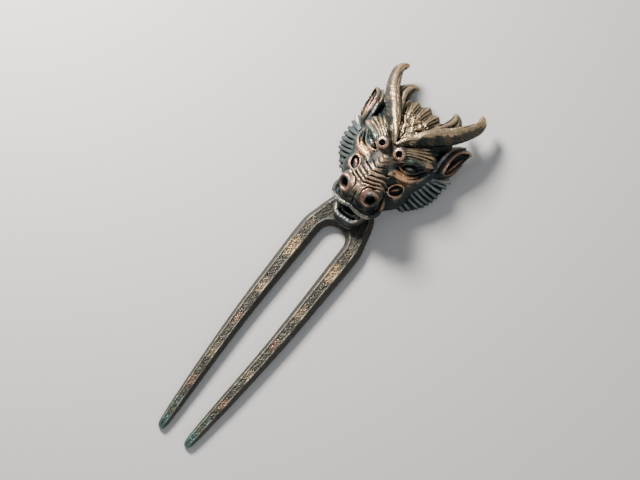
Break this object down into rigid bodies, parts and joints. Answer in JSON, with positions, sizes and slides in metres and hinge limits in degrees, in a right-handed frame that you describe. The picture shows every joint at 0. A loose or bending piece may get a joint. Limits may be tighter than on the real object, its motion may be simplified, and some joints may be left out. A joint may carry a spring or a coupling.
{
  "type": "two-pronged hairpin",
  "caption": "Cast bronze hair fork: tapering bevelled prongs joined by an arch, with a horned dragon mask in high relief over the neck.",
  "frame": {"origin": "centre of the bounding box's underside, on the surface that the hairpin lies on", "axes": "+Y from the prong tips to the horn tips, +Z out of the mask's face, +X across the prongs"},
  "size_m": [0.0414, 0.15, 0.0212],
  "materials": {
    "fork": "dark bronze patina, brown and green-grey, rubbed to copper on the edges",
    "mask": "cast bronze, rubbed to warm tan on the high relief, blue-green black in the hollows"
  },
  "bodies": {
    "root": {"fork": "fork", "dragon_head": "mask"}
  },
  "joints": []
}
